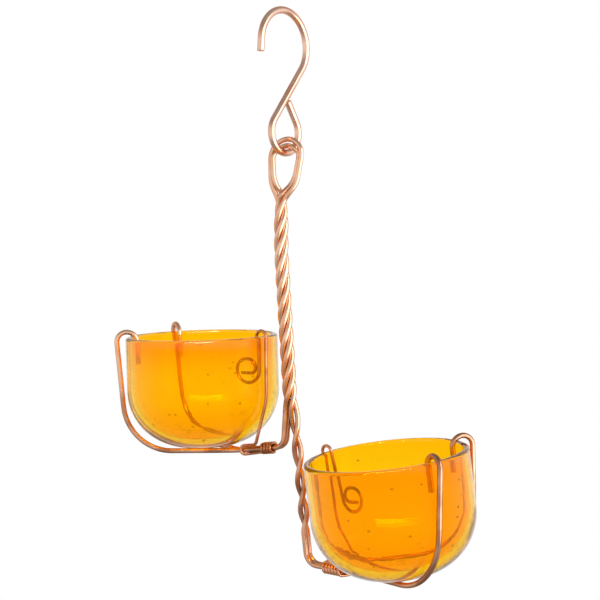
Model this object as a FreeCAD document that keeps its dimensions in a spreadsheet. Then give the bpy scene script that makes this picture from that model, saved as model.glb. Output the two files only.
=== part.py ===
"""Hanging double bowl feeder for orioles, in twisted copper wire.

Two blown glass bowls stand in wire cradles on opposite sides of a twisted stem. Two frame wires make
the whole skeleton. Each is folded at the top into one loop of a nested eye, so four strands run down
the stem. One end of each wire leaves the stem for the upper cradle, and the other ends go on, twisted
as a pair, to the lower cradle. A thinner tie wire binds the two strands under each bowl, and its end
rises as the third prong. The eye hangs on a copper S hook.

Frame: +Z up, +X and +Y level. The origin is where the hook's top arc hangs on its support, on the
underside of the wire. The feeder is drawn as it hangs. All sizes are in millimetres and degrees.
"""

import FreeCAD
import Part

import math
import os

import Sketcher
from FreeCAD import Placement, Rotation, Vector

DIMENSIONS = (
    ("hook_wire", 3.5, "diameter of the S hook's wire"),
    ("hook_top_radius", 16.8, "centre line radius of the hook's top arc"),
    ("hook_low_radius", 10.0, "centre line radius of the hook's lower arc"),
    ("hook_drop", 42.4, "height from the centre of the lower arc to the centre of the top arc"),
    ("hook_step", 0.6, "sideways step from the top arc's centre to the lower arc's centre"),
    ("hook_tip_length", 6.0, "straight end of the top arc"),
    ("hook_tip_flare", 4.0, "outward slope of that end"),
    ("hook_leg_length", 11.5, "straight end of the lower arc"),
    ("hook_leg_slope", 33.6, "slope of that end"),
    ("hook_turn", 50.0, "turn of the hook's plane about the vertical"),
    ("frame_wire", 2.6, "diameter of the two frame wires"),
    ("tie_wire", 1.6, "diameter of the two tie wires"),
    ("link_gap", 0.5, "clearance between the eye and the hook"),
    ("wire_gap", 0.12, "clearance between wires that lie side by side"),
    ("glass_gap", 0.3, "clearance between a bowl and the wires that carry it"),
    ("eye_half_width", 9.4, "half width of the outer loop of the eye"),
    ("eye_spacing", 2.8, "from the inner to the outer loop at the sides"),
    ("eye_top_spacing", 3.2, "from the inner to the outer loop at the top"),
    ("eye_length", 26.7, "from the top of the inner loop down to the twist"),
    ("eye_throat", 7.0, "half width of the outer loop where it starts to close"),
    ("eye_throat_height", 8.0, "height of that place above the twist"),
    ("eye_gather", 0.6, "share of the closing and turning done at the last bend above the twist"),
    ("eye_cross", -28.0, "turn of the outer strands from the eye's plane at the top of the twist"),
    ("eye_shift", 0.7, "sideways shift of the eye from the stem's line"),
    ("eye_skew", 1.2, "height of the eye's right shoulder above its middle"),
    ("eye_lean", -4.8, "lean of the eye"),
    ("eye_turn", -27.0, "turn of the eye's plane about the vertical"),
    ("twist_length", 101.0, "length of the four strand twist"),
    ("twist_turns", 3.0, "turns of the four strand twist, to the nearest whole"),
    ("twist_straight", 25.0, "upright length at the top of the four strand twist"),
    ("twist_lean", 3.4, "lean of the four strand twist below that"),
    ("core_radius", 1.37, "centre line radius of the two core strands"),
    ("outer_radius", 2.55, "centre line radius of the two outer strands"),
    ("branch_radius", 2.25, "centre line radius of all four strands where they part"),
    ("branch_squaring", 24.0, "length over which the strands draw level before they part"),
    ("pair_length", 62.0, "length of the two strand twist"),
    ("pair_turns", 2.0, "turns of the two strand twist, to the nearest whole"),
    ("pair_quickening", 0.2, "share by which the two strand twist tightens on its way down"),
    ("pair_lean", 5.6, "lean of the two strand twist"),
    ("neck_lean", 4.5, "lean of the upper cradle's strands away from the stem"),
    ("neck_bend", 6.0, "bend radius where two strands turn under a bowl"),
    ("neck_lift", 2.0, "height of that bend above a bowl's underside"),
    ("bowl_radius", 39.2, "outer radius of a bowl"),
    ("bowl_height", 57.0, "height of a bowl"),
    ("bowl_corner", 29.0, "outer radius between a bowl's wall and floor"),
    ("bowl_wall", 3.0, "thickness of a bowl's wall"),
    ("bowl_floor", 4.0, "thickness of a bowl's floor"),
    ("upper_way", 148.2, "direction of the upper bowl from the foot of the four strand twist"),
    ("upper_clear", 11.6, "clearance between that foot and the upper bowl's wall"),
    ("upper_drop", 24.3, "height of that foot above the upper bowl's underside"),
    ("upper_tilt", 1.5, "tilt of the upper bowl"),
    ("lower_way", -33.6, "direction of the lower bowl from the foot of the two strand twist"),
    ("lower_clear", 14.5, "clearance between that foot and the lower bowl's wall"),
    ("lower_drop", 13.7, "height of that foot above the lower bowl's underside"),
    ("lower_tilt", 7.2, "tilt of the lower bowl"),
    ("fork_reach", 19.2, "where the two strands part under a bowl, in from its wall"),
    ("fork_bend", 12.0, "bend radius there"),
    ("upper_prong_foot", 0.4, "corner of an upper prong's foot, out from the bowl's wall"),
    ("upper_prong_bend", 25.0, "bend radius there"),
    ("lower_prong_foot", -1.0, "corner of a lower prong's foot, out from the bowl's wall"),
    ("lower_prong_bend", 30.0, "bend radius there"),
    ("prong_shoulder", 4.9, "shoulder of a prong, out from the bowl's wall"),
    ("prong_span", 10.9, "reach of a prong over the rim"),
    ("prong_slope", 1.2, "fall of a prong over the rim"),
    ("prong_inside", 14.0, "depth of a prong's end below the rim"),
    ("upper_outer_prong", -143.0, "direction of the outer wire's prong from the stem, upper cradle"),
    ("upper_outer_skew", 3.0, "turn of its foot from that direction"),
    ("upper_outer_rise", 3.3, "height of its shoulder above the rim"),
    ("upper_inner_prong", 148.0, "direction of the inner wire's prong from the stem, upper cradle"),
    ("upper_inner_skew", -6.0, "turn of its foot from that direction"),
    ("upper_inner_rise", 4.5, "height of its shoulder above the rim"),
    ("upper_tie_prong", -3.0, "direction of the tie wire's prong from the stem, upper cradle"),
    ("lower_outer_prong", -132.0, "direction of the outer wire's prong from the stem, lower cradle"),
    ("lower_outer_skew", 3.0, "turn of its foot from that direction"),
    ("lower_outer_rise", 3.3, "height of its shoulder above the rim"),
    ("lower_inner_prong", 154.0, "direction of the inner wire's prong from the stem, lower cradle"),
    ("lower_inner_skew", -8.5, "turn of its foot from that direction"),
    ("lower_inner_rise", 3.3, "height of its shoulder above the rim"),
    ("lower_tie_prong", -10.0, "direction of the tie wire's prong from the stem, lower cradle"),
    ("tie_start", 3.7, "first wrap of a tie, out from the bowl's wall"),
    ("upper_tie_wraps", 4.0, "wraps of the upper tie"),
    ("upper_tie_foot", 5.2, "foot of the upper tie's prong, in from the bowl's wall"),
    ("upper_tie_end", 14.2, "where the upper tie turns back, in from the bowl's wall"),
    ("lower_tie_wraps", 6.0, "wraps of the lower tie"),
    ("lower_tie_foot", 8.2, "foot of the lower tie's prong, in from the bowl's wall"),
    ("lower_tie_end", 11.6, "where the lower tie turns back, in from the bowl's wall"),
    ("tie_bend", 2.4, "bend radius where a tie turns back and where its prong starts"),
    ("tie_shoulder", 2.0, "shoulder of a tie's prong, out from the bowl's wall"),
    ("tie_rise", 2.8, "height of a tie prong's shoulder above the rim"),
    ("tie_span", 5.9, "reach of a tie's prong over the rim"),
    ("scroll_depth", 17.0, "depth of the scroll's centre below the rim"),
    ("scroll_radius", 6.5, "radius of the first half turn of the scroll"),
    ("scroll_step", 1.0, "how much tighter the next half turn is"),
)

STEPS_PER_TURN = 9
# A rounded wire cuts inside its corner points; this share of the cut puts it back on its radius.
CORNER_SHARE = 0.6
# The side of a cradle on which each frame wire runs.
SIDES = {"outer": -1, "inner": 1}
UP = Vector(0, 0, 1)


def make_sheet(doc):
    """The driving dimensions, one row each: name, value and meaning."""
    sheet = doc.addObject("Spreadsheet::Sheet", "Sizes")
    for row, (alias, value, meaning) in enumerate(DIMENSIONS, start=1):
        sheet.set(f"A{row}", alias)
        sheet.set(f"B{row}", str(value))
        sheet.set(f"C{row}", meaning)
        sheet.setAlias(f"B{row}", alias)
    doc.recompute()
    return sheet


class Sizes:
    """The sheet's values as attributes."""

    def __init__(self, sheet):
        for alias, _, _ in DIMENSIONS:
            setattr(self, alias, float(sheet.get(alias)))


def polar(radius, degrees, height=0.0):
    """A point at this distance from the vertical axis."""
    angle = math.radians(degrees)
    return Vector(radius * math.cos(angle), radius * math.sin(angle), height)


def azimuth(vector):
    """Direction of a vector seen from above, in degrees."""
    return math.degrees(math.atan2(vector.y, vector.x))


def between(start, end, share):
    """The value or point at this share of the way from start to end."""
    return start + (end - start) * share


def corner_factor(degrees):
    """How far outside a circle the corner points of a rounded wire must lie, for this turn at each."""
    return 1 + CORNER_SHARE * (1 / math.cos(math.radians(degrees / 2)) - 1)


def share_run(run, first, second):
    """Cuts two bends back to what the straight run between them has room for."""
    if first + second <= run:
        return first, second
    if first < run / 2:
        return first, run - first
    if second < run / 2:
        return run - second, second
    return run / 2, run / 2


def rounded_wire(points):
    """A wire of straight runs joined by tangent arcs.

    Each point is a Vector, or a pair of a Vector and the bend radius there. A point with no radius
    gets the largest arc that its runs leave room for.
    """
    spots = [p[0] if isinstance(p, tuple) else p for p in points]
    radii = [p[1] if isinstance(p, tuple) else math.inf for p in points]
    last = len(spots) - 1
    ways = [(spots[i + 1] - spots[i]).normalize() for i in range(last)]
    turns = [0.0] + [ways[i - 1].getAngle(ways[i]) for i in range(1, last)] + [0.0]
    cuts = [0.0] * (last + 1)
    for i in range(1, last):
        cuts[i] = radii[i] * math.tan(turns[i] / 2)
    for i in range(last):
        run = (spots[i + 1] - spots[i]).Length
        cuts[i], cuts[i + 1] = share_run(run, cuts[i], cuts[i + 1])
    edges = []
    here = spots[0]
    for i in range(1, last):
        radius = cuts[i] / math.tan(turns[i] / 2)
        start = spots[i] - ways[i - 1] * cuts[i]
        end = spots[i] + ways[i] * cuts[i]
        inward = (ways[i] - ways[i - 1]).normalize()
        middle = spots[i] + inward * (radius / math.cos(turns[i] / 2) - radius)
        if (start - here).Length > 0.01:
            edges.append(Part.LineSegment(here, start).toShape())
        else:
            start = here
        edges.append(Part.Arc(start, middle, end).toShape())
        here = end
    if (spots[last] - here).Length > 0.01:
        edges.append(Part.LineSegment(here, spots[last]).toShape())
    return Part.Wire(edges)


def make_tube(doc, label, points, diameter_name):
    """A round wire swept along its route."""
    route = doc.addObject("Part::Feature", label + "_route")
    route.Shape = rounded_wire(points)
    first = route.Shape.Edges[0]
    section = doc.addObject("Part::Circle", label + "_section")
    section.setExpression("Radius", f"Sizes.{diameter_name} / 2")
    section.Placement = Placement(
        first.valueAt(first.FirstParameter),
        Rotation(UP, first.tangentAt(first.FirstParameter)),
    )
    tube = doc.addObject("Part::Sweep", label)
    tube.Label = label
    tube.Sections = [section]
    tube.Spine = (route, [f"Edge{n}" for n in range(1, len(route.Shape.Edges) + 1)])
    tube.Solid = True
    tube.Frenet = False
    return tube


class Cradle:
    """Frame of one bowl: its origin under the bowl, +Z up the bowl's axis, +X towards the stem."""

    def __init__(self, s, name, stem_point, stem_way):
        self.s = s
        self.name = name
        self.wall = s.bowl_radius
        away = self.wall + self.size("clear")
        base = stem_point + polar(away, self.size("way"), -self.size("drop"))
        self.stand = Placement(base, Rotation(Vector(0, 1, 0), -self.size("tilt")))
        back = self.stand.inverse()
        near = back.multVec(stem_point)
        way = back.Rotation.multVec(stem_way)
        self.corner = near + way * ((s.neck_lift - near.z) / way.z)
        self.reach = math.hypot(self.corner.x, self.corner.y)
        self.place = self.stand * Placement(Vector(), Rotation(UP, azimuth(self.corner)))
        self.fork = self.wall - s.fork_reach
        self.beside = (s.frame_wire + s.wire_gap) / 2
        self.floor = -s.frame_wire / 2 - s.glass_gap

    def size(self, name):
        """A size of this cradle."""
        return getattr(self.s, f"{self.name}_{name}")

    def at(self, point):
        """A point of the cradle's frame in the feeder's frame."""
        return self.place.multVec(point)

    def pair_height(self, reach):
        """Height of the two strands' centre lines between the fork and the stem."""
        share = (reach - self.fork) / (self.reach - self.fork)
        return between(self.floor, self.s.neck_lift, share)

    def strand(self, side, prong_name):
        """One strand from the neck's bend, under the bowl and up to the end of its prong."""
        s = self.s
        angle = self.size(prong_name + "_prong")
        foot = polar(
            self.wall + self.size("prong_foot"), angle + self.size(prong_name + "_skew"), self.floor
        )
        top = s.bowl_height + self.size(prong_name + "_rise")
        shoulder = self.wall + s.prong_shoulder
        inside = shoulder - s.prong_span
        points = [
            (Vector(self.reach, side * self.beside, s.neck_lift), s.neck_bend),
            (Vector(self.fork, side * self.beside, self.floor), s.fork_bend),
            (foot, self.size("prong_bend")),
            (polar(shoulder, angle, top), s.prong_span / 2),
            (polar(inside, angle, top - s.prong_slope), s.prong_span / 2),
            polar(inside, angle, s.bowl_height - s.prong_inside),
        ]
        return [(self.at(p[0]), p[1]) if isinstance(p, tuple) else self.at(p) for p in points]

    def tie(self):
        """The tie wire: wraps beside the stem, a turn under the strands, the prong and its scroll."""
        s = self.s
        start = self.wall + s.tie_start
        foot = self.wall - self.size("tie_foot")
        end = self.wall - self.size("tie_end")
        pitch = s.tie_wire + s.wire_gap
        off = (s.frame_wire + s.tie_wire + s.wire_gap) / 2
        aside = self.beside + off
        points = [Vector(start, 0, self.pair_height(start) - off)]
        for index in range(4 * round(self.size("tie_wraps"))):
            side, level = ((-1, -1), (-1, 1), (1, 1), (1, -1))[index % 4]
            reach = start - pitch * (index + 0.5) / 4
            points.append((Vector(reach, side * aside, self.pair_height(reach) + level * off), off))
        back = self.pair_height(end) - off
        points.append((Vector(end, -aside, back), off))
        points.append((Vector(end, -aside, back + off + s.tie_bend), s.tie_bend))
        points += self.tie_prong(Vector(foot, -aside, self.pair_height(foot) + s.tie_bend))
        return [(self.at(p[0]), p[1]) if isinstance(p, tuple) else self.at(p) for p in points]

    def tie_prong(self, foot):
        """The rest of the tie wire, which stands against the glass and ends in a flat scroll."""
        s = self.s
        angle = self.size("tie_prong")
        against = s.bowl_corner + s.tie_wire / 2 + s.glass_gap
        inward = math.hypot(foot.x, foot.y) - (self.wall - s.bowl_corner)
        below = s.bowl_corner - foot.z
        slope = math.acos(against / math.hypot(inward, below)) - math.atan2(below, inward)
        beside = self.wall + s.tie_wire / 2 + s.glass_gap
        touch = s.bowl_corner + against * math.tan(slope / 2)
        points = [(foot, s.tie_bend), (polar(beside, angle, touch), against)]
        top = s.bowl_height + s.tie_rise
        shoulder = self.wall + s.tie_shoulder
        inside = shoulder - s.tie_span
        points.append((polar(shoulder, angle, top), s.tie_span / 2))
        points.append((polar(inside, angle, top), s.tie_span / 2))
        wide = s.scroll_radius
        tight = wide - s.scroll_step
        centre = s.bowl_height - s.scroll_depth
        left = inside - 2 * wide
        right = left + 2 * tight
        points.append((polar(inside, angle, centre - wide), wide))
        points.append((polar(left, angle, centre - wide), wide))
        points.append((polar(left, angle, centre + tight), tight))
        points.append((polar(right, angle, centre + tight), tight))
        points.append((polar(right, angle, centre - s.tie_wire), tight / 2))
        points.append(polar(left + tight / 2, angle, centre - s.tie_wire))
        return points


class Stem:
    """The eye, the four strand twist and the two strand twist, from the top down."""

    def __init__(self, s):
        self.s = s
        self.pivot = polar(s.hook_step, s.hook_turn)
        self.pivot.z = s.hook_wire / 2 - s.hook_top_radius - s.hook_drop - s.hook_low_radius
        self.inner_top = self.pivot.z + (s.hook_wire + s.frame_wire) / 2 + s.link_gap
        self.outer_top = self.inner_top + s.eye_top_spacing
        self.twist_top = self.inner_top - s.eye_length
        self.branch = self.twist_top - s.twist_length
        self.foot = self.branch - s.pair_length
        self.top_phase = s.eye_turn + s.eye_cross
        self.branch_phase = s.upper_way - azimuth(Vector(-1, 1, 0)) - 360.0 * round(s.twist_turns)
        leaving = self.four_strands(self.branch)
        self.neck_start = (leaving["outer_up"] + leaving["inner_up"]) / 2
        self.pair_start = (leaving["outer_down"] + leaving["inner_down"]) / 2
        neck_way = polar(math.tan(math.radians(s.neck_lean)), s.upper_way, -1.0)
        self.pair_way = Vector(math.tan(math.radians(s.pair_lean)), 0, -1.0)
        pair_end = self.pair_start + self.pair_way * s.pair_length
        self.upper = Cradle(s, "upper", self.neck_start, neck_way)
        self.lower = Cradle(s, "lower", pair_end, self.pair_way)

    def axis(self, height):
        """A point of the stem's centre line, down to the branch."""
        s = self.s
        eye = self.pivot.z - max(height, self.twist_top)
        lean = max(0.0, self.twist_top - s.twist_straight - height)
        x = self.pivot.x
        x += math.tan(math.radians(s.eye_lean)) * eye
        x += math.tan(math.radians(s.twist_lean)) * lean
        return Vector(x, self.pivot.y, height)

    def phase(self, height):
        share = (self.twist_top - height) / self.s.twist_length
        return between(self.top_phase, self.branch_phase, share)

    def four_strands(self, height, widen=1.0):
        """The strands' centres at a height of the four strand twist."""
        s = self.s
        axis = self.axis(height)
        turn = self.phase(height)
        drawn = max(0.0, 1 - (height - self.branch) / s.branch_squaring)
        outer = between(s.outer_radius, s.branch_radius, drawn) * widen
        core = between(s.core_radius, s.branch_radius, drawn) * widen
        return {
            "outer_down": axis + polar(outer, turn),
            "outer_up": axis + polar(outer, turn + 180),
            "inner_down": axis + polar(core, turn - 90),
            "inner_up": axis + polar(core, turn + 90),
        }

    def twist(self, strand):
        """Points of one strand down the four strand twist."""
        turning = abs(self.branch_phase - self.top_phase)
        steps = round(turning / 360.0 * STEPS_PER_TURN)
        widen = corner_factor(turning / steps)
        heights = [self.twist_top - self.s.twist_length * n / steps for n in range(steps + 1)]
        return [self.four_strands(height, widen)[strand] for height in heights]

    def eye(self, loop, side):
        """Points from the loop's top corner down to the twist, on one side of the eye."""
        s = self.s
        inner = loop == "inner"
        inset = s.eye_spacing if inner else 0.0
        top = self.inner_top if inner else self.outer_top
        turn = s.eye_turn + (0.0 if side > 0 else 180.0)
        final_radius = s.core_radius if inner else s.outer_radius
        final_turn = turn + s.eye_cross - (90.0 if inner else 0.0)
        shift = polar(s.eye_shift, s.eye_turn)
        corner = self.axis(top) + shift + polar(s.eye_half_width - inset, turn, side * s.eye_skew)
        above = s.eye_throat_height + inset / 2
        throat = s.eye_throat - inset
        points = [(corner, s.eye_half_width - inset)]
        points.append(self.axis(self.twist_top + above) + shift + polar(throat, turn))
        share = s.eye_gather
        radius = between(throat, final_radius, share)
        points.append(
            self.axis(self.twist_top + above * (1 - share))
            + shift * (1 - share)
            + polar(radius, between(turn, final_turn, share))
        )
        return points

    def neck(self, loop):
        """Points of one strand from the branch to the bend under the upper bowl."""
        upper = self.upper
        start = self.four_strands(self.branch)[loop + "_up"] - self.neck_start
        corner = upper.at(Vector(upper.reach, 0, self.s.neck_lift))
        aside = upper.at(Vector(upper.reach, SIDES[loop] * upper.beside, self.s.neck_lift)) - corner
        middle = between(self.neck_start, corner, 0.5)
        return [middle + between(start, aside, 0.5)]

    def pair(self, loop):
        """Points of one strand down the two strand twist."""
        s = self.s
        lower = self.lower
        start = self.four_strands(self.branch)[loop + "_down"] - self.pair_start
        aside = lower.at(Vector(0, SIDES[loop], 0)) - lower.at(Vector())
        first, final = azimuth(start), azimuth(aside)
        final += 360.0 * (round((first - final) / 360.0) - round(s.pair_turns))
        steps = round((first - final) / 360.0 * STEPS_PER_TURN)
        widen = corner_factor((first - final) / steps)
        points = []
        for step in range(1, steps + 1):
            share = step / steps
            turned = share * (1 - s.pair_quickening + s.pair_quickening * share)
            centre = self.pair_start + self.pair_way * (s.pair_length * share)
            points.append(centre + polar(start.Length * widen, between(first, final, turned)))
        return points

    def frame_wire(self, loop):
        """The whole route of one frame wire, from the upper prong's end to the lower prong's end."""
        up = self.upper.strand(SIDES[loop], loop)[::-1]
        up += self.neck(loop)[::-1]
        up += self.twist(loop + "_up")[::-1]
        up += self.eye(loop, -1)[::-1]
        down = self.eye(loop, 1)
        down += self.twist(loop + "_down")
        down += self.pair(loop)
        down += self.lower.strand(SIDES[loop], loop)
        return up + down


def constrain(sketch, rules):
    """Adds the constraints. A rule with a name takes its value from the sheet."""
    for parts, name, expression in rules:
        index = sketch.addConstraint(Sketcher.Constraint(*parts))
        if name:
            sketch.renameConstraint(index, name)
            sketch.setExpression("Constraints." + name, expression)


def start_sketch(body, name, role):
    """A sketch on one of the body's own planes."""
    planes = {feature.Role: feature for feature in body.Origin.OriginFeatures}
    sketch = body.newObject("Sketcher::SketchObject", name)
    sketch.AttachmentSupport = [(planes[role], "")]
    sketch.MapMode = "FlatFace"
    return sketch


def arc(centre, radius, start, end):
    """An anticlockwise arc between two angles."""
    circle = Part.Circle(centre, UP, radius)
    return Part.ArcOfCircle(circle, math.radians(start), math.radians(end))


def make_hook(doc, s):
    """The S hook: one round wire along two arcs with a straight slope between them."""
    body = doc.addObject("PartDesign::Body", "hook_body")
    body.Label = "s_hook"
    route = start_sketch(body, "hook_route", "XZ_Plane")
    top = Vector(0, s.hook_wire / 2 - s.hook_top_radius, 0)
    low = top + Vector(s.hook_step, -s.hook_drop, 0)
    cross = math.degrees(math.acos((s.hook_top_radius + s.hook_low_radius) / (low - top).Length))
    leave = azimuth(low - top) + cross
    flare = 180.0 - s.hook_tip_flare
    tip_start = top + polar(s.hook_top_radius, flare)
    leg_start = low + polar(s.hook_low_radius, s.hook_leg_slope)
    tip, top_arc, slope, low_arc, leg = range(5)
    route.addGeometry(
        [
            Part.LineSegment(tip_start + polar(s.hook_tip_length, flare + 90), tip_start),
            arc(top, s.hook_top_radius, leave, flare),
            Part.LineSegment(
                top + polar(s.hook_top_radius, leave), low + polar(s.hook_low_radius, leave + 180)
            ),
            arc(low, s.hook_low_radius, leave + 180, s.hook_leg_slope + 360),
            Part.LineSegment(leg_start, leg_start + polar(s.hook_leg_length, s.hook_leg_slope + 90)),
        ],
        False,
    )
    constrain(
        route,
        (
            (("Tangent", tip, 2, top_arc, 2), None, None),
            (("Tangent", top_arc, 1, slope, 1), None, None),
            (("Tangent", slope, 2, low_arc, 1), None, None),
            (("Tangent", low_arc, 2, leg, 1), None, None),
            (("PointOnObject", top_arc, 3, -2), None, None),
            (
                ("DistanceY", top_arc, 3, -1, 1, -top.y),
                "contact",
                "Sizes.hook_top_radius - Sizes.hook_wire / 2",
            ),
            (("Radius", top_arc, s.hook_top_radius), "top_radius", "Sizes.hook_top_radius"),
            (("Radius", low_arc, s.hook_low_radius), "low_radius", "Sizes.hook_low_radius"),
            (("DistanceX", top_arc, 3, low_arc, 3, s.hook_step), "step", "Sizes.hook_step"),
            (("DistanceY", low_arc, 3, top_arc, 3, s.hook_drop), "drop", "Sizes.hook_drop"),
            (("Distance", tip, s.hook_tip_length), "tip_length", "Sizes.hook_tip_length"),
            (("Distance", leg, s.hook_leg_length), "leg_length", "Sizes.hook_leg_length"),
            (
                ("Angle", tip, math.radians(flare - 90)),
                "tip_flare",
                "90 deg - Sizes.hook_tip_flare * 1 deg",
            ),
            (
                ("Angle", leg, math.radians(s.hook_leg_slope + 90)),
                "leg_slope",
                "90 deg + Sizes.hook_leg_slope * 1 deg",
            ),
        ),
    )
    section = body.newObject("Sketcher::SketchObject", "hook_section")
    section.AttachmentSupport = [(route, "Edge1")]
    section.MapMode = "NormalToEdge"
    section.addGeometry(Part.Circle(Vector(), UP, s.hook_wire / 2), False)
    constrain(
        section,
        (
            (("Coincident", 0, 3, -1, 1), None, None),
            (("Radius", 0, s.hook_wire / 2), "wire", "Sizes.hook_wire / 2"),
        ),
    )
    doc.recompute()
    pipe = body.newObject("PartDesign::AdditivePipe", "hook_pipe")
    pipe.Profile = section
    pipe.Spine = (route, [f"Edge{n}" for n in range(1, 6)])
    body.Placement = Placement(Vector(), Rotation(UP, s.hook_turn))
    return body


def make_bowl(doc, s, cradle):
    """A blown bowl: upright wall, large round corner, flat floor and a fire polished rim."""
    body = doc.addObject("PartDesign::Body", cradle.name + "_bowl_body")
    body.Label = cradle.name + "_bowl"
    sketch = start_sketch(body, cradle.name + "_bowl_profile", "XZ_Plane")
    centre = s.bowl_radius - s.bowl_corner
    inner = s.bowl_corner - s.bowl_wall
    inner_side = s.bowl_radius - s.bowl_wall
    lip = s.bowl_wall / 2
    lip_height = s.bowl_height - lip
    inner_low = s.bowl_floor + inner
    under, corner, wall, rim, inside, inner_corner, floor, middle = range(8)
    sketch.addGeometry(
        [
            Part.LineSegment(Vector(0, 0), Vector(centre, 0)),
            arc(Vector(centre, s.bowl_corner), s.bowl_corner, -90, 0),
            Part.LineSegment(Vector(s.bowl_radius, s.bowl_corner), Vector(s.bowl_radius, lip_height)),
            arc(Vector(s.bowl_radius - lip, lip_height), lip, 0, 180),
            Part.LineSegment(Vector(inner_side, lip_height), Vector(inner_side, inner_low)),
            arc(Vector(centre, inner_low), inner, -90, 0),
            Part.LineSegment(Vector(centre, s.bowl_floor), Vector(0, s.bowl_floor)),
            Part.LineSegment(Vector(0, s.bowl_floor), Vector(0, 0)),
        ],
        False,
    )
    constrain(
        sketch,
        (
            (("Coincident", under, 1, -1, 1), None, None),
            (("Horizontal", under), None, None),
            (("Tangent", under, 2, corner, 1), None, None),
            (("Tangent", corner, 2, wall, 1), None, None),
            (("Vertical", wall), None, None),
            (("Tangent", wall, 2, rim, 1), None, None),
            (("Tangent", rim, 2, inside, 1), None, None),
            (("Vertical", inside), None, None),
            (("Tangent", inside, 2, inner_corner, 2), None, None),
            (("Tangent", inner_corner, 1, floor, 1), None, None),
            (("Horizontal", floor), None, None),
            (("Coincident", floor, 2, middle, 1), None, None),
            (("Coincident", middle, 2, under, 1), None, None),
            (("Vertical", middle), None, None),
            (("DistanceX", -1, 1, wall, 1, s.bowl_radius), "side", "Sizes.bowl_radius"),
            (("Radius", corner, s.bowl_corner), "corner", "Sizes.bowl_corner"),
            (("Radius", inner_corner, inner), "inner", "Sizes.bowl_corner - Sizes.bowl_wall"),
            (("Radius", rim, lip), "lip", "Sizes.bowl_wall / 2"),
            (
                ("DistanceY", -1, 1, rim, 3, lip_height),
                "height",
                "Sizes.bowl_height - Sizes.bowl_wall / 2",
            ),
            (("DistanceY", -1, 1, floor, 1, s.bowl_floor), "floor", "Sizes.bowl_floor"),
        ),
    )
    turned = body.newObject("PartDesign::Revolution", cradle.name + "_bowl_turn")
    turned.Profile = sketch
    turned.ReferenceAxis = (sketch, ["V_Axis"])
    turned.Angle = 360.0
    body.Placement = cradle.stand
    return body


def check(doc, pieces):
    """Stops if a feature failed or a piece has no sound shape."""
    failed = [o.Name for o in doc.Objects if "Invalid" in o.State or "Error" in o.State]
    if failed:
        raise RuntimeError("failed features: " + ", ".join(failed))
    for piece in pieces:
        if piece.Shape.isNull() or not piece.Shape.isValid() or not piece.Shape.Solids:
            raise RuntimeError(piece.Label + " has no valid solid")


def main():
    doc = FreeCAD.newDocument("feeder")
    sizes = Sizes(make_sheet(doc))
    stem = Stem(sizes)
    pieces = [make_hook(doc, sizes)]
    for loop in ("outer", "inner"):
        pieces.append(make_tube(doc, loop + "_frame_wire", stem.frame_wire(loop), "frame_wire"))
    for cradle in (stem.upper, stem.lower):
        pieces.append(make_tube(doc, cradle.name + "_tie_wire", cradle.tie(), "tie_wire"))
        pieces.append(make_bowl(doc, sizes, cradle))
    doc.recompute()
    check(doc, pieces)
    os.makedirs("parts", exist_ok=True)
    for piece in pieces:
        piece.Shape.exportStep(os.path.join("parts", piece.Label + ".step"))
        print(piece.Label, "volume", round(piece.Shape.Volume, 1), "mm3")


main()
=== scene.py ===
"""Looks of the hanging double bowl feeder: amber seeded glass, copper wire, white backdrop."""

import math
import random

import bpy
from mathutils import Matrix, Vector


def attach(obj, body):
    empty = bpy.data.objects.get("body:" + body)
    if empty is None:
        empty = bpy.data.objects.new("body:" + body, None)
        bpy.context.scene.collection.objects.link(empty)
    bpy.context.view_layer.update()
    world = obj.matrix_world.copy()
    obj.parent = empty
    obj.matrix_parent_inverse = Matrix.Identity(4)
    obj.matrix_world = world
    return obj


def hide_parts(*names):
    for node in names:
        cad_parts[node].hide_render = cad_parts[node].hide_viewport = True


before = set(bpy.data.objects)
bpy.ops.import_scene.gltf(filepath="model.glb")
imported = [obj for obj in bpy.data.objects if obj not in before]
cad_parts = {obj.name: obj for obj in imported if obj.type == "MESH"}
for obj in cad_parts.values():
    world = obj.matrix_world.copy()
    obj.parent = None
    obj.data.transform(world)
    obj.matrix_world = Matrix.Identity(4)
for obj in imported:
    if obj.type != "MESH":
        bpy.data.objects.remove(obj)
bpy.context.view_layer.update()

# Camera: place in metres, pitch in degrees below level, lens and sensor in millimetres.
CAMERA_PLACE = (0.0077, -0.581, -0.11325)
CAMERA_PITCH = 2.6
CAMERA_LENS = 70.8
CAMERA_SENSOR = 36.0

# The bowls: centre of the underside in metres and tilt in degrees, as in the construction.
BOWLS = {
    "upper_bowl": ((-0.04155, 0.0281, -0.2159), 1.5),
    "lower_bowl": ((0.0551, -0.0301, -0.2673), 7.2),
}
BOWL_RADIUS = 0.0392
BOWL_HEIGHT = 0.0570
BOWL_CORNER = 0.0290
BOWL_WALL = 0.0030
BOWL_FLOOR = 0.0040

# Seed bubbles: how many, how close to the rim and how deep in the wall they start, their sizes,
# how much longer than wide they get, and how their sizes and places crowd.
SEEDS_PER_BOWL = 170
SEED_FROM_RIM = 0.003
SEED_DEPTHS = (0.0009, 0.0021)
SEED_SIZE = 0.00016
SEED_GROWTH = 0.00044
SEED_STRETCH = (1.0, 1.7)
SEED_SIZE_CROWD = 3
SEED_PLACE_CROWD = 0.8

# The four strand twist, as in the construction: its ends, how far down it runs straight, its lean,
# its centre line at the top, its turn at both ends, and each wire's radius and strands there.
TWIST_TOP = -0.0906
TWIST_END = -0.1916
TWIST_STRAIGHT = 0.0250
TWIST_LEAN = math.radians(3.4)
TWIST_PLACE = (-0.00155, 0.00046)
TWIST_PHASES = (-55.0, -1066.8)
STRANDS = {
    "outer_frame_wire": (0.00255, (0.0, 180.0)),
    "inner_frame_wire": (0.00137, (-90.0, 90.0)),
}
# Over this length above its end, the strands come level at this radius.
STRANDS_LEVEL = 0.0240
LEVEL_RADIUS = 0.00225
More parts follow.
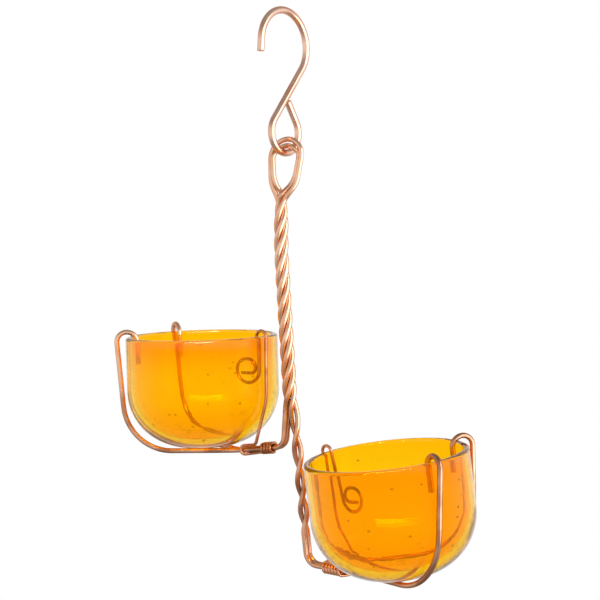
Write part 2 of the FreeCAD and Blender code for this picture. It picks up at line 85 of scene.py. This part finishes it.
# As drawn here: the radius of all four strands, the length over which the change sets in, how far
# from the centre line it reaches, and how much thicker the strands get.
EVEN_RADIUS = 0.00220
EVEN_START = 0.0100
EVEN_REACH = 0.0060
SWELL = 0.12

# The inner loop of the eye: heights over which its legs are drawn apart, and how far the back and
# the front leg go.
LOOP_FROM = (-0.0895, -0.0830)
LOOP_TO = (-0.0690, -0.0645)
LOOP_SHIFTS = ((-0.00130, -0.00125, 0.0), (0.00130, 0.00115, 0.0))

# The scroll in the lower bowl: heights above the bowl's underside over which the change sets in,
# and how far the scroll moves.
SCROLL_FROM = 0.0560
SCROLL_TO = 0.0500
SCROLL_SHIFT = (0.0030, 0.0, -0.0060)

# The studio as reflections show it, by height, by side and by depth: a direction's share from and
# to, and the brightness from and to.
STUDIO_HEIGHT = (0.10, 0.80, 1.0, 0.40)
STUDIO_SIDES = (-0.05, 0.70, 0.86, 1.00)
STUDIO_BACK = (0.35, 0.85, 0.0, 1.0)

# Soft lamps: place, target, width, height, power, and what mirrors them.
MIDDLE = (0.0, 0.0, -0.14)
BOWLS_MIDDLE = (0.0, 0.0, -0.20)
LAMPS = {
    "key": ((-0.45, -0.60, 0.25), MIDDLE, 0.35, 0.35, 2.0, None),
    "side": ((0.60, -0.25, 0.00), MIDDLE, 0.25, 0.60, 1.0, None),
    "screen": ((0.55, -0.35, -0.10), MIDDLE, 0.70, 0.90, 4.2, "wires"),
    "strip_0": ((-0.05, -0.55, 0.255), BOWLS_MIDDLE, 0.75, 0.05, 4.2, "bowls"),
    "strip_1": ((-0.05, -0.55, 0.345), BOWLS_MIDDLE, 0.75, 0.05, 4.2, "bowls"),
}

# Amber glass: tones of the upper bowl, of the lower bowl, of both near the rim and of both floors.
AMBER = (1.0, 0.63, 0.002, 1.0)
DEEP_AMBER = (1.0, 0.55, 0.003, 1.0)
RIM_AMBER = (1.0, 0.50, 0.002, 1.0)
FLOOR_AMBER = (1.0, 0.54, 0.012, 1.0)
# Tones of the reflections on the walls and on the rim.
AMBER_SHINE = (1.0, 0.55, 0.02, 1.0)
RIM_SHINE = (1.0, 0.95, 0.85, 1.0)
# Where one tone turns into another: across in metres from the upper bowl to the lower, and up as
# a share of the bowl's height for the rim's tone, the floor's tone and the rim's reflections.
DEEP_ACROSS = (-0.001, 0.012, 0.0, 1.0)
RIM_UP = (0.60, 0.97, 0.0, 1.0)
FLOOR_UP = (0.05, 0.30, 1.0, 0.0)
RIM_SHINE_UP = (0.88, 0.97, 0.0, 1.0)
GLASS_ROUGHNESS = 0.02
GLASS_IOR = 1.45
GLASS_CLEARNESS = 0.96
# Scale, detail, strength and depth of the waves in the glass.
WAVES = (45.0, 1.0, 0.12, 0.002)

# Copper: pairs of tones, of the bright and of the dull patches; for the frame wires a second,
# darker pair low down is painted shade.
HOOK_COPPER = ((0.96, 0.64, 0.49, 1.0), (0.84, 0.47, 0.33, 1.0))
BRIGHT_COPPER = ((0.96, 0.60, 0.41, 1.0), (0.86, 0.47, 0.29, 1.0))
SHADED_COPPER = ((0.74, 0.41, 0.26, 1.0), (0.44, 0.21, 0.12, 1.0))
THIN_COPPER = ((0.80, 0.39, 0.21, 1.0), (0.48, 0.19, 0.09, 1.0))
COPPER_EDGE = (0.50, 0.30, 0.22, 1.0)
# Heights between which the frame wires turn to their darker tones: painted shade low down, around
# and under the bowls.
SHADE_DOWN = (-0.150, -0.215, 0.0, 1.0)
# Scale and detail of the patches, and where they turn from dull to bright.
PATCHES = (70.0, 2.0)
PATCH_STOPS = (0.38, 0.58)
# Scale, detail, strength and depth of the grain.
GRAIN = (300.0, 2.0, 0.05, 0.0003)


def new_material(name):
    """A material with its nodes, links and main shader."""
    material = bpy.data.materials.new(name)
    material.use_nodes = True
    nodes = material.node_tree.nodes
    return material, nodes, material.node_tree.links, nodes["Principled BSDF"]


def math_node(nodes, links, operation, first, second):
    """The result of one sum on two sockets or numbers."""
    node = nodes.new("ShaderNodeMath")
    node.operation = operation
    for index, value in enumerate((first, second)):
        if isinstance(value, float):
            node.inputs[index].default_value = value
        else:
            links.new(value, node.inputs[index])
    return node.outputs["Value"]


def ramp_node(nodes, links, value, start, end, low, high):
    """A smooth change from low to high while the value goes from start to end."""
    node = nodes.new("ShaderNodeMapRange")
    node.interpolation_type = "SMOOTHSTEP"
    node.inputs["From Min"].default_value = start
    node.inputs["From Max"].default_value = end
    node.inputs["To Min"].default_value = low
    node.inputs["To Max"].default_value = high
    links.new(value, node.inputs["Value"])
    return node.outputs["Result"]


def mix_node(nodes, links, factor, first, second):
    """One colour turning into another; each is a colour or a socket."""
    mix = nodes.new("ShaderNodeMix")
    mix.data_type = "RGBA"
    links.new(factor, mix.inputs[0])
    for index, value in ((6, first), (7, second)):
        if isinstance(value, tuple):
            mix.inputs[index].default_value = value
        else:
            links.new(value, mix.inputs[index])
    return mix.outputs[2]


def noise_node(nodes, links, place, scale, detail):
    """Soft noise over the object's own coordinates."""
    noise = nodes.new("ShaderNodeTexNoise")
    noise.inputs["Scale"].default_value = scale
    noise.inputs["Detail"].default_value = detail
    links.new(place.outputs["Object"], noise.inputs["Vector"])
    return noise.outputs["Fac"]


def split_node(nodes, links, vector):
    """The three parts of a vector."""
    split = nodes.new("ShaderNodeSeparateXYZ")
    links.new(vector, split.inputs["Vector"])
    return split.outputs


def add_relief(nodes, links, shader, place, scale, detail, strength, depth):
    """Gives the shader a fine relief."""
    bump = nodes.new("ShaderNodeBump")
    bump.inputs["Strength"].default_value = strength
    bump.inputs["Distance"].default_value = depth
    links.new(noise_node(nodes, links, place, scale, detail), bump.inputs["Height"])
    links.new(bump.outputs["Normal"], shader.inputs["Normal"])


def patch_tones(nodes, links, factor, tones):
    """Bright metal with dull patches."""
    ramp = nodes.new("ShaderNodeValToRGB")
    for stop, position, tone in zip(ramp.color_ramp.elements, PATCH_STOPS, reversed(tones)):
        stop.position = position
        stop.color = tone
    links.new(factor, ramp.inputs["Fac"])
    return ramp.outputs["Color"]


def copper_material(name, high, low, roughness):
    """Drawn copper in soft patches, with one pair of tones high up and another low down; a darker
    low pair is painted shade.
    """
    material, nodes, links, shader = new_material(name)
    shader.inputs["Metallic"].default_value = 1.0
    shader.inputs["Roughness"].default_value = roughness
    shader.inputs["Specular Tint"].default_value = COPPER_EDGE
    place = nodes.new("ShaderNodeTexCoord")
    up = split_node(nodes, links, place.outputs["Object"])["Z"]
    patches = noise_node(nodes, links, place, *PATCHES)
    tones = [patch_tones(nodes, links, patches, pair) for pair in (high, low)]
    # Painted shade: the tones turn darker low down, around and under the bowls.
    painted_shade = ramp_node(nodes, links, up, *SHADE_DOWN)
    links.new(mix_node(nodes, links, painted_shade, *tones), shader.inputs["Base Color"])
    add_relief(nodes, links, shader, place, *GRAIN)
    return material


def glass_material(name):
    """Amber blown glass, slightly wavy, deeper near the rim and in the lower bowl."""
    material, nodes, links, shader = new_material(name)
    shader.inputs["Roughness"].default_value = GLASS_ROUGHNESS
    shader.inputs["IOR"].default_value = GLASS_IOR
    shader.inputs["Transmission Weight"].default_value = GLASS_CLEARNESS
    place = nodes.new("ShaderNodeTexCoord")
    across = split_node(nodes, links, place.outputs["Object"])["X"]
    up = split_node(nodes, links, place.outputs["Generated"])["Z"]
    deep, high, low, rim = [
        ramp_node(nodes, links, value, *ramp)
        for value, ramp in ((across, DEEP_ACROSS), (up, RIM_UP), (up, FLOOR_UP), (up, RIM_SHINE_UP))
    ]
    wall = mix_node(nodes, links, deep, AMBER, DEEP_AMBER)
    wall = mix_node(nodes, links, high, wall, RIM_AMBER)
    wall = mix_node(nodes, links, low, wall, FLOOR_AMBER)
    links.new(wall, shader.inputs["Base Color"])
    shine = mix_node(nodes, links, rim, AMBER_SHINE, RIM_SHINE)
    links.new(shine, shader.inputs["Specular Tint"])
    add_relief(nodes, links, shader, place, *WAVES)
    return material


def bowl_stand(bowl):
    """Where the bowl stands, as a matrix."""
    base, tilt = BOWLS[bowl]
    return Matrix.Translation(base) @ Matrix.Rotation(math.radians(-tilt), 4, "Y")


def wall_point(share, depth):
    """A point inside the glass: its share of the way down from the rim, and its depth."""
    straight = BOWL_HEIGHT - BOWL_CORNER
    curve = math.pi / 2 * BOWL_CORNER
    flat = BOWL_RADIUS - BOWL_CORNER
    along = SEED_FROM_RIM + share * (straight + curve + flat - SEED_FROM_RIM)
    if along < straight:
        return BOWL_RADIUS - depth, BOWL_HEIGHT - along
    along -= straight
    if along < curve:
        turn = along / BOWL_CORNER
        reach = BOWL_CORNER - depth
        return flat + reach * math.cos(turn), BOWL_CORNER - reach * math.sin(turn)
    return flat - (along - curve), depth


def make_seeds(bowl, material):
    """Small air bubbles within the wall of one bowl."""
    name = bowl + "_seeds"
    stand = bowl_stand(bowl)
    bpy.ops.mesh.primitive_ico_sphere_add(subdivisions=2, radius=1.0)
    ball = bpy.context.object
    corners = [v.co.copy() for v in ball.data.vertices]
    faces = [tuple(reversed(p.vertices)) for p in ball.data.polygons]
    bpy.data.objects.remove(ball)
    points, polygons = [], []
    chance = random.Random(name)
    for _ in range(SEEDS_PER_BOWL):
        share = chance.random() ** SEED_PLACE_CROWD
        radius, height = wall_point(share, chance.uniform(*SEED_DEPTHS))
        turn = Matrix.Rotation(chance.uniform(0.0, 2 * math.pi), 4, "Z")
        size = SEED_SIZE + SEED_GROWTH * chance.random() ** SEED_SIZE_CROWD
        stretch = chance.uniform(*SEED_STRETCH)
        place = stand @ turn @ Matrix.Translation((radius, 0.0, height))
        start = len(points)
        points += [place @ Vector((c.x * size, c.y * size * stretch, c.z * size)) for c in corners]
        polygons += [tuple(start + i for i in face) for face in faces]
    mesh = bpy.data.meshes.new(name)
    mesh.from_pydata(points, [], polygons)
    mesh.polygons.foreach_set("use_smooth", [True] * len(mesh.polygons))
    place_piece(name, mesh, material)


def place_piece(name, mesh, material):
    """A piece of the feeder made of the mesh."""
    mesh.materials.clear()
    mesh.materials.append(material)
    piece = bpy.data.objects.new(name, mesh)
    bpy.context.scene.collection.objects.link(piece)
    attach(piece, "feeder")
    return piece


def smooth_share(value):
    """Rises smoothly from 0 to 1 with the value."""
    value = min(1.0, max(0.0, value))
    return value * value * (3.0 - 2.0 * value)


def even_shift(point, radius, turns):
    """How far a point of the twist moves, so that all four strands lie level and close."""
    down = TWIST_TOP - point.z
    length = TWIST_TOP - TWIST_END
    if not 0.0 < down < length:
        return Vector()
    share = smooth_share(min(down, length - down) / EVEN_START)
    lean = math.tan(TWIST_LEAN) * max(0.0, down - TWIST_STRAIGHT)
    phase = TWIST_PHASES[0] + (TWIST_PHASES[1] - TWIST_PHASES[0]) * down / length
    ways = [
        Matrix.Rotation(math.radians(phase + turn), 4, "Z") @ Vector((1, 0, 0)) for turn in turns
    ]
    offset = Vector((point.x - TWIST_PLACE[0] - lean, point.y - TWIST_PLACE[1], 0.0))
    if offset.length > EVEN_REACH:
        return Vector()
    way = max(ways, key=offset.dot)
    drawn = max(0.0, 1.0 - (length - down) / STRANDS_LEVEL)
    radius += (LEVEL_RADIUS - radius) * drawn
    return (way * (EVEN_RADIUS - radius) + (offset - way * radius) * SWELL) * share


def loop_shift(point):
    """How far a point of the eye's inner loop moves, to lie over the outer loop."""
    rise = smooth_share((point.z - LOOP_FROM[0]) / (LOOP_FROM[1] - LOOP_FROM[0]))
    fall = smooth_share((LOOP_TO[1] - point.z) / (LOOP_TO[1] - LOOP_TO[0]))
    return Vector(LOOP_SHIFTS[0] if point.y > 0.0 else LOOP_SHIFTS[1]) * rise * fall


def even_twist(node, material):
    """The node's wire with its strands drawn level in the four strand twist."""
    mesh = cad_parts[node].data.copy()
    for vertex in mesh.vertices:
        shift = even_shift(vertex.co, *STRANDS[node])
        if node == "inner_frame_wire":
            shift += loop_shift(vertex.co)
        vertex.co += shift
    wire = place_piece(node + "_twisted", mesh, material)
    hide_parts(node)
    return wire


def lowered_scroll(node, bowl, material):
    """The node's tie wire with its scroll drawn further down inside the bowl."""
    to_bowl = bowl_stand(bowl).inverted()
    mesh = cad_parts[node].data.copy()
    for vertex in mesh.vertices:
        point = to_bowl @ vertex.co
        if math.hypot(point.x, point.y) < BOWL_RADIUS - BOWL_WALL and point.z > BOWL_FLOOR:
            share = min(1.0, max(0.0, (SCROLL_FROM - point.z) / (SCROLL_FROM - SCROLL_TO)))
            vertex.co += Vector(SCROLL_SHIFT) * share
    wire = place_piece("lower_tie_lowered", mesh, material)
    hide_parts(node)
    return wire


def paint(node, material):
    """Gives a CAD node its material."""
    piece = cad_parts[node]
    piece.data.materials.clear()
    piece.data.materials.append(material)
    return piece


def make_world():
    """White to the camera, through glass and on plain surfaces; reflections show the studio."""
    world = bpy.data.worlds.new("studio")
    bpy.context.scene.world = world
    world.use_nodes = True
    nodes, links = world.node_tree.nodes, world.node_tree.links
    nodes.clear()
    output = nodes.new("ShaderNodeOutputWorld")
    room = nodes.new("ShaderNodeBackground")
    room.inputs["Color"].default_value = (1.0, 1.0, 1.0, 1.0)
    path = nodes.new("ShaderNodeLightPath").outputs
    place = nodes.new("ShaderNodeTexCoord")
    way = split_node(nodes, links, place.outputs["Generated"])
    level = math_node(nodes, links, "ABSOLUTE", way["Z"], 0.0)
    height = ramp_node(nodes, links, level, *STUDIO_HEIGHT)
    sides = ramp_node(nodes, links, way["X"], *STUDIO_SIDES)
    back = ramp_node(nodes, links, way["Y"], *STUDIO_BACK)
    studio = math_node(nodes, links, "MULTIPLY", height, sides)
    studio = math_node(nodes, links, "MAXIMUM", studio, back)
    mirrored = math_node(nodes, links, "MULTIPLY", path["Is Glossy Ray"], studio)
    plain = math_node(nodes, links, "SUBTRACT", 1.0, path["Is Glossy Ray"])
    light = math_node(nodes, links, "ADD", mirrored, plain)
    seen = math_node(nodes, links, "MAXIMUM", path["Is Camera Ray"], path["Is Transmission Ray"])
    strength = math_node(nodes, links, "MAXIMUM", light, seen)
    links.new(strength, room.inputs["Strength"])
    links.new(room.outputs["Background"], output.inputs["Surface"])


def make_lamp(name, place, target, width, height, power, mirrors):
    """A soft lamp that faces its target. Only the mirrors, if any, reflect it and are lit by it."""
    data = bpy.data.lights.new(name, "AREA")
    data.shape = "RECTANGLE"
    data.size = width
    data.size_y = height
    data.energy = power
    lamp = bpy.data.objects.new(name, data)
    lamp.location = place
    way = Vector(target) - Vector(place)
    lamp.rotation_euler = way.to_track_quat("-Z", "Y").to_euler()
    lamp.visible_glossy = mirrors is not None
    if mirrors:
        lamp.light_linking.receiver_collection = bpy.data.collections[mirrors]
    bpy.context.scene.collection.objects.link(lamp)


def make_camera():
    """The camera that took the photograph."""
    data = bpy.data.cameras.new("camera")
    data.lens = CAMERA_LENS
    data.sensor_width = CAMERA_SENSOR
    data.clip_start = 0.01
    camera = bpy.data.objects.new("camera", data)
    camera.location = CAMERA_PLACE
    camera.rotation_euler = (math.radians(90.0 - CAMERA_PITCH), 0.0, 0.0)
    bpy.context.scene.collection.objects.link(camera)
    bpy.context.scene.camera = camera


# The frame wires turn darker low down: painted shade.
wire = copper_material("copper_wire", BRIGHT_COPPER, SHADED_COPPER, 0.2)
hook = copper_material("copper_hook", HOOK_COPPER, HOOK_COPPER, 0.18)
tie = copper_material("copper_tie", THIN_COPPER, THIN_COPPER, 0.22)
glass = glass_material("amber_glass")

wires = bpy.data.collections.new("wires")
for piece in (
    paint("s_hook", hook),
    even_twist("outer_frame_wire", wire),
    even_twist("inner_frame_wire", wire),
    paint("upper_tie_wire", tie),
    lowered_scroll("lower_tie_wire", "lower_bowl", tie),
):
    wires.objects.link(piece)
bowls = bpy.data.collections.new("bowls")
for bowl in BOWLS:
    bowls.objects.link(paint(bowl, glass))
    make_seeds(bowl, glass)

make_world()
for name, lamp in LAMPS.items():
    make_lamp(name, *lamp)
make_camera()
bpy.context.scene.view_settings.view_transform = "Standard"
